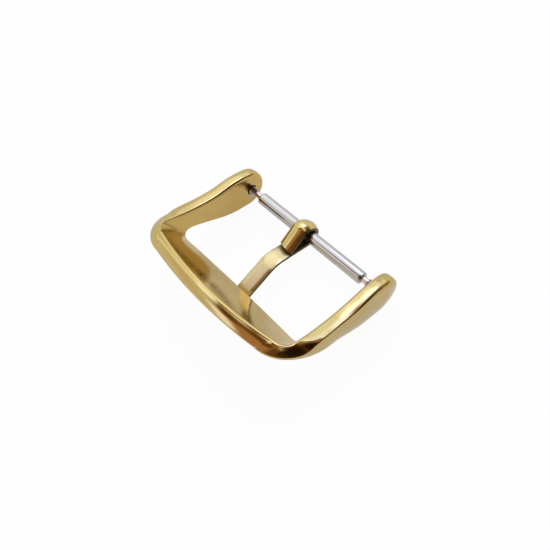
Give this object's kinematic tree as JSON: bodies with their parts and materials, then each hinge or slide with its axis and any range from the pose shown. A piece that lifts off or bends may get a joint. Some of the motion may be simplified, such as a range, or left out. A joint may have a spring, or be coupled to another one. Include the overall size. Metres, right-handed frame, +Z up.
{
  "type": "watch strap buckle",
  "caption": "Pin buckle for a watch strap: polished U-shaped frame, folded tongue and sprung bar between the arms.",
  "frame": {"origin": "middle of the spring bar, between the two arms", "axes": "+X along the spring bar, -Y towards the crossbar, +Z up, on the wrist side; the buckle lies display side down"},
  "size_m": [0.024, 0.0174, 0.0079],
  "materials": {
    "gold_plate": "polished",
    "steel": "polished",
    "spring_steel": "satin"
  },
  "bodies": {
    "frame": {"buckle_frame": "gold_plate"},
    "tongue": {"tongue": "gold_plate"},
    "spring_bar": {"spring_bar_tube": "steel", "spring_bar_spring": "spring_steel"},
    "plunger_left": {"spring_bar_plunger_left": "steel"},
    "plunger_right": {"spring_bar_plunger_right": "steel"}
  },
  "joints": [
    {"name": "spring_bar_spin", "type": "hinge", "parent": "frame", "child": "spring_bar", "pos_m": [0, 0, 0], "axis": [1, 0, 0], "continuous": true},
    {"name": "tongue_swing", "type": "hinge", "parent": "frame", "child": "tongue", "pos_m": [0, 0, 0], "axis": [1, 0, 0], "range_deg": [-11.75, 333.2]},
    {"name": "plunger_left_press", "type": "slide", "parent": "spring_bar", "child": "plunger_left", "axis": [1, 0, 0], "range_m": [0, 0.00062], "stiffness_N_per_m": 300, "springref_m": -0.003, "deforming": ["spring_bar_spring"]},
    {"name": "plunger_right_press", "type": "slide", "parent": "spring_bar", "child": "plunger_right", "axis": [-1, 0, 0], "range_m": [0, 0.00062], "stiffness_N_per_m": 300, "springref_m": -0.003, "deforming": ["spring_bar_spring"]}
  ]
}
